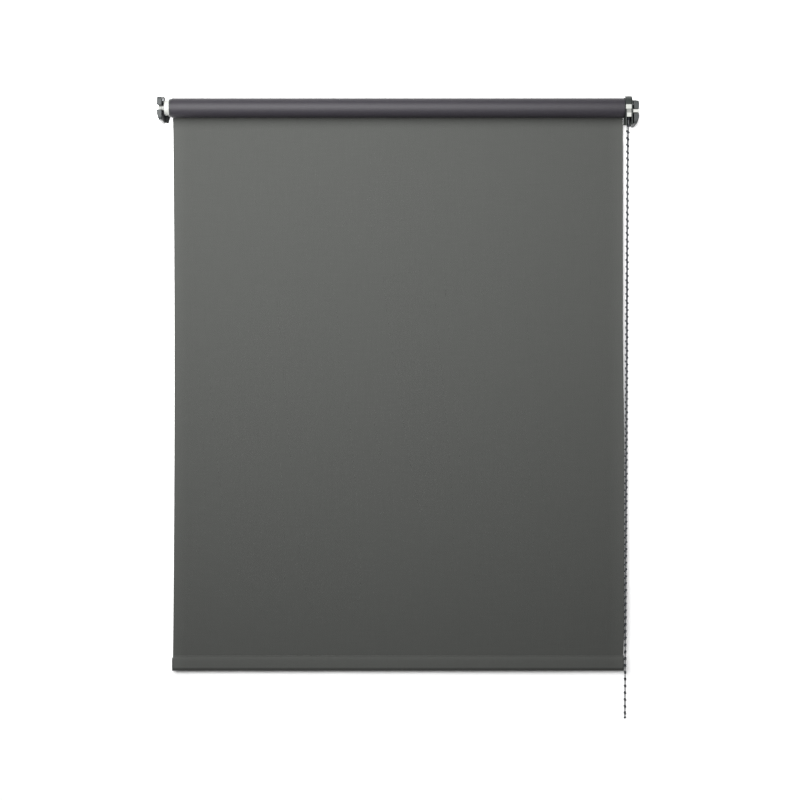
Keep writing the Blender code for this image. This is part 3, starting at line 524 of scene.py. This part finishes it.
def add_hanging_cloth():
    rows, columns = 150, 140
    ends = np.linspace(-1, 1, columns)
    ends = np.sign(ends) * (1 - (1 - np.abs(ends)) ** SIDE_CROWDING)
    centre = np.array([[hanging_shape(u, v) for u in ends] for v in np.linspace(0, 1, rows)])
    along_x = np.gradient(centre, axis=1)
    along_z = np.gradient(centre, axis=0)
    normal = np.cross(along_z, along_x)
    normal /= np.linalg.norm(normal, axis=2, keepdims=True)
    sheet = slab("cloth_hanging", centre, normal, CLOTH_THICKNESS, ["face", "reverse", "cut_edge"])
    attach(sheet, "mounting")
    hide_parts("fabric_drop")
    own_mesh(sheet)
    return sheet


def add_wound_cloth():
    """The cloth on the tube is one spiral, wound from the back over the top to the front."""
    steps = round(ROLL_TURNS * ROLL_STEPS)
    columns = 60
    room = ROLL_RADIUS - TUBE_RADIUS - ROLL_GAP
    pitch = room / ROLL_TURNS
    thickness = pitch * CLOTH_SHARE
    outside = ROLL_RADIUS - thickness / 2
    centre = np.zeros((steps + 1, columns, 3))
    normal = np.zeros_like(centre)
    for i in range(steps + 1):
        turn = 2 * pi * i / ROLL_STEPS
        radius = outside - pitch * turn / (2 * pi)
        # each turn's sides stand a little off from the last one's
        drift = 0.0005 * sin(0.9 * turn) - 0.0003 * sin(2.3 * turn)
        for j in range(columns):
            u = -1 + 2 * j / (columns - 1)
            centre[i, j] = (
                u * (HALF_CLOTH - ROLL_INSET) + drift * abs(u),
                AXIS_Y + radius * cos(turn),
                radius * sin(turn),
            )
            normal[i, j] = (0, cos(turn), sin(turn))
    roll = slab("cloth_wound", centre, normal, thickness, ["wound_reverse", "wound_face", "cut_edge"])
    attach(roll, "roller")
    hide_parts("fabric_roll")
    return roll


# ---- the hem -----------------------------------------------------------------------
HEM_CLOTH = 0.0005
NECK_CLOTH = 0.00018          # thinner where the pocket's two sides meet
NECK_SHARE = 0.16             # of its height
HEM_OVER = 0.0018             # the hem reaches this far over the cap at its chain side
WELD_HEIGHT = 0.0024          # the welded band that closes the pocket
FOOT_FROM = 0.78              # the pocket turns under from this share of its height, in a strip coloured darker as painted shade of its underside
# Outline of the hem from the front of its top edge round the bottom to the back,
# as shares of its half thickness and of its height.
HEM_OUTLINE = [
    (-0.20, 0.000), (-0.22, 0.050), (-0.20, 0.092), (-0.42, 0.130), (-0.80, 0.210), (-0.97, 0.330),
    (-1.00, 0.500), (-1.00, 0.720), (-0.97, 0.850), (-0.86, 0.925), (-0.62, 0.972), (-0.26, 0.997),
    (0.26, 0.997), (0.62, 0.972), (0.86, 0.925), (0.97, 0.850), (1.00, 0.720), (1.00, 0.500), (0.97, 0.330),
    (0.78, 0.210), (0.42, 0.130), (0.20, 0.092), (0.16, 0.050), (0.14, 0.000),
]


def closed_spline(points, steps):
    """A smooth closed curve through the points."""
    points = np.array(points, float)
    count = len(points)
    found = []
    for i in range(count):
        p0, p1, p2, p3 = (points[(i + k) % count] for k in (-1, 0, 1, 2))
        for k in range(steps):
            t = k / steps
            found.append(0.5 * (2 * p1 + (p2 - p0) * t + (2 * p0 - 5 * p1 + 4 * p2 - p3) * t**2
                                + (3 * p1 - p0 - 3 * p2 + p3) * t**3))
    return np.array(found)


def add_hem():
    """The hem pocket: cloth folded round the bar and welded to itself above it."""
    half = (HEM_HIGH[1] - HEM_LOW[1]) / 2
    height = HEM_TOP - HEM_BOTTOM
    outline = closed_spline([(y * half, -z * height) for y, z in HEM_OUTLINE], 4)
    count = len(outline)
    tangent = np.roll(outline, -1, axis=0) - np.roll(outline, 1, axis=0)
    inward = np.stack([-tangent[:, 1], tangent[:, 0]], axis=1)
    inward /= np.linalg.norm(inward, axis=1, keepdims=True)
    depth = np.full(count, HEM_CLOTH)
    depth[outline[:, 1] > -NECK_SHARE * height] = NECK_CLOTH
    inner = outline + inward * depth[:, None]
    columns = 121
    stations = np.linspace(-HALF_CLOTH, HALF_CLOTH + HEM_OVER, columns)
    looks = ["hem_face", "weld", "reverse", "cut_edge", "hem_underside_painted_shade"]
    front, weld, inside, cut, foot = range(len(looks))
    vertices, faces, indices = [], [], []
    for x in stations:
        # faint waves, which fade out towards the top edge
        wave = 0.00010 * sin(37 * x) + 0.00006 * sin(91 * x + 1)
        for loop in (outline, inner):
            for y, z in loop:
                slack = min(1.0, max(0.0, -z / height * 3))
                vertices.append((x, SHEET_Y + y * (1 + 0.02 * sin(23 * x)) + wave * slack, HEM_TOP + z))

    def at(column, loop, k):
        return column * 2 * count + loop * count + k % count

    for c in range(columns - 1):
        for k in range(count):
            welded = outline[k, 1] > -WELD_HEIGHT and outline[(k + 1) % count, 1] > -WELD_HEIGHT * 1.3
            turned_under = outline[k, 1] < -FOOT_FROM * height
            faces.append((at(c, 0, k), at(c, 0, k + 1), at(c + 1, 0, k + 1), at(c + 1, 0, k)))
            # turned-under faces take the cloth coloured darker as painted shade
            indices.append(weld if welded else foot if turned_under else front)
            faces.append((at(c + 1, 1, k), at(c + 1, 1, k + 1), at(c, 1, k + 1), at(c, 1, k)))
            indices.append(inside)
    for c in (0, columns - 1):
        for k in range(count):
            face = (at(c, 0, k), at(c, 1, k), at(c, 1, k + 1), at(c, 0, k + 1))
            faces.append(face if c == 0 else face[::-1])
            indices.append(cut)
    hem = make_piece("hem_cloth", vertices, faces, looks, indices, 50)
    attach(hem, "bottom_bar")
    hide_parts("hem_pocket")


# ---- the spring behind the idle pin ------------------------------------------------
PIN_WIRE = 0.00045            # radius of its wire
PIN_TURNS = 7
COIL_STEPS = 24               # steps in a turn
WIRE_SIDES = 10
CLOSED_TURN = 2.2 * PIN_WIRE  # how far an end turn climbs


def add_pin_spring():
    """A coil with closed end turns. The real spring shortens as the pin is pressed in; this one is built at
    one length.
    """
    low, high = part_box("idle_pin_spring")
    mean = (high[2] - low[2]) / 2 - PIN_WIRE
    start, end = low[0] + PIN_WIRE, high[0] - PIN_WIRE
    turns = (0, 1, PIN_TURNS - 1, PIN_TURNS)
    reached = (start, start + CLOSED_TURN, end - CLOSED_TURN, end)
    rings = []
    for turn in np.linspace(0, PIN_TURNS, PIN_TURNS * COIL_STEPS + 1):
        x = np.interp(turn, turns, reached)
        outward = np.array((0, cos(2 * pi * turn), sin(2 * pi * turn)))
        centre = np.array((x, AXIS_Y, 0)) + mean * outward
        rings.append([
            centre + PIN_WIRE * (cos(a) * outward + sin(a) * np.array((1, 0, 0)))
            for a in np.radians(np.arange(0, 360, 360 // WIRE_SIDES))
        ])
    coil = tube_of_rings("idle_pin_coil", rings, ["spring"])
    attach(coil, "roller")
    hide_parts("idle_pin_spring")
    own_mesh(coil)


# ---- hard parts --------------------------------------------------------------------
SOFTENED_FROM = radians(35)   # edges sharper than this are softened
# The look of each part that keeps its CAD mesh, and how far its edges are softened.
HARD_PARTS = {
    "left_bracket": ("bracket", 0.0003),
    "right_bracket": ("bracket", 0.0003),
    "left_bracket_cover": ("cover", 0.0),
    "right_bracket_cover": ("cover", 0.0),
    "left_cover_screw": ("screw", 0.0),
    "right_cover_screw": ("screw", 0.0),
    "clutch_housing": ("clutch", 0.0),
    "clutch_back_plate": ("clutch", 0.0004),
    "clutch_front_clip": ("clip", 0.0),
    "clutch_spindle": ("white", 0.0003),
    "clutch_spring_inner": ("spring", 0.0),
    "clutch_spring_outer": ("spring", 0.0),
    "spindle_screw": ("screw", 0.0),
    "chain_sprocket": ("white", 0.00025),
    "drive_plug": ("black", 0.0003),
    "roller_tube": ("tube", 0.0002),
    "idle_plug": ("white", 0.0003),
    "idle_pin": ("white", 0.0002),
    "idle_spring_cap": ("black", 0.0002),
    "bottom_bar": ("aluminium", 0.0),
    "bar_cap_left": ("cap", 0.0003),
    "bar_cap_right": ("cap", 0.0003),
}


def finish_hard_parts():
    for name, (look, softening) in HARD_PARTS.items():
        node = NODES[name]
        node.data.materials.clear()
        node.data.materials.append(LOOKS[look])
        if softening:
            edges = node.modifiers.new("soft_edges", "BEVEL")
            edges.width = softening
            edges.segments = 2
            edges.limit_method = "ANGLE"
            edges.angle_limit = SOFTENED_FROM


# ---- wall, floor and light ---------------------------------------------------------
REACH = 4.0                   # half the width of the wall and the floor
FLOOR_Z = -2.4
CEILING_Z = 2.2
WALL_Y = 0.0004               # just behind the brackets' flanges
WALL_WHITE = 0.76
WALL_LEVEL = 1.06             # brightness that light and glow together give the wall
WALL_GLOW = 0.05              # the least glow
TOP_GLOW = 0.45               # the least glow behind the roll and the brackets
TOP_GLOW_FROM = -0.09         # height where that starts; it is full at the roller's axis
FLOOR_GREY = 0.50
WORLD_GLOW = 0.16
KEY_PLACE = (-0.47, -1.55, 0.29)
KEY_AIM = (-0.15, 0, 0.30)
KEY_SIZE = 1.8
KEY_POWER = 73.5
KEY_SPREAD = 127
KEY_LEVEL = 4.8               # light on the wall straight in front of the key
BACK_PLACE = (-1.3, 2.9, -0.1)
BACK_AIM = (0, 0, -0.5)
BACK_SIZE = 1.5
BACK_POWER = 80
BACK_SPREAD = 90


def stage_plane(name, corners, material):
    mesh = bpy.data.meshes.new(name)
    mesh.from_pydata(corners, [], [(0, 1, 2, 3)])
    mesh.materials.append(material)
    plane = bpy.data.objects.new(name, mesh)
    bpy.context.collection.objects.link(plane)
    return plane


def wall_material():
    """A white wall that is clear from behind and casts no shadow, so that the back is seen and lit.
    Its glow makes up what the key light loses with distance, so that it looks evenly white."""
    made = Shader("stage_wall", roughness=0.95, specular=0.0)
    made.set("Base Color", (*grey(WALL_WHITE), 1))
    made.set("Emission Color", (1, 1, 1, 1))
    distance = made.node("ShaderNodeVectorMath", operation="DISTANCE")
    distance.inputs[1].default_value = (KEY_PLACE[0], 0, KEY_PLACE[2])
    made.link(made.place, distance.inputs[0])
    slant = made.maths("DIVIDE", distance.outputs["Value"], -KEY_PLACE[1])
    spread = made.maths("POWER", made.maths("ADD", made.maths("POWER", slant, 2.0), 1.0), 2.0)
    lit = made.maths("DIVIDE", WALL_WHITE * KEY_LEVEL, spread)
    glow = made.maths("MAXIMUM", made.maths("SUBTRACT", WALL_LEVEL, lit), WALL_GLOW)
    split = made.node("ShaderNodeSeparateXYZ")
    made.link(made.place, split.inputs[0])
    height = made.node("ShaderNodeMapRange", interpolation_type="SMOOTHSTEP")
    height.inputs["From Min"].default_value = TOP_GLOW_FROM
    height.inputs["From Max"].default_value = 0.0
    height.inputs["To Max"].default_value = TOP_GLOW
    made.link(split.outputs["Z"], height.inputs["Value"])
    glow = made.maths("MAXIMUM", glow, height.outputs["Result"])
    made.link(glow, made.principled.inputs["Emission Strength"])
    clear = made.node("ShaderNodeBsdfTransparent")
    either = made.node("ShaderNodeMixShader")
    unseen = made.maths(
        "MAXIMUM",
        made.node("ShaderNodeNewGeometry").outputs["Backfacing"],
        made.node("ShaderNodeLightPath").outputs["Is Shadow Ray"],
    )
    made.link(unseen, either.inputs["Fac"])
    made.link(made.principled.outputs[0], either.inputs[1])
    made.link(clear.outputs[0], either.inputs[2])
    made.link(either.outputs[0], made.tree.nodes["Material Output"].inputs["Surface"])
    return made.material


def floor_material():
    made = Shader("stage_floor", roughness=0.8, specular=0.2)
    made.set("Base Color", (*grey(FLOOR_GREY), 1))
    return made.material


def area_light(name, place, aim, size, power, spread):
    data = bpy.data.lights.new(name, "AREA")
    data.shape = "SQUARE"
    data.size = size
    data.energy = power
    data.spread = radians(spread)
    light = bpy.data.objects.new(name, data)
    light.location = place
    light.rotation_euler = (Vector(aim) - Vector(place)).to_track_quat("-Z", "Y").to_euler()
    bpy.context.collection.objects.link(light)


def add_stage():
    depth = REACH + 2
    stage_plane("stage_wall", [(-REACH, WALL_Y, FLOOR_Z), (REACH, WALL_Y, FLOOR_Z),
                               (REACH, WALL_Y, CEILING_Z), (-REACH, WALL_Y, CEILING_Z)], wall_material())
    stage_plane("stage_floor", [(-REACH, -depth, FLOOR_Z), (REACH, -depth, FLOOR_Z),
                                (REACH, depth, FLOOR_Z), (-REACH, depth, FLOOR_Z)], floor_material())
    world = bpy.data.worlds.new("studio")
    world.use_nodes = True
    background = world.node_tree.nodes["Background"]
    background.inputs["Color"].default_value = (1, 1, 1, 1)
    background.inputs["Strength"].default_value = WORLD_GLOW
    bpy.context.scene.world = world
    bpy.context.scene.view_settings.view_transform = "Standard"
    area_light("key", KEY_PLACE, KEY_AIM, KEY_SIZE, KEY_POWER, KEY_SPREAD)
    area_light("back", BACK_PLACE, BACK_AIM, BACK_SIZE, BACK_POWER, BACK_SPREAD)


add_camera()
add_chain()
sheet = add_hanging_cloth()
roll = add_wound_cloth()
add_hem()
add_pin_spring()
finish_hard_parts()
add_stage()
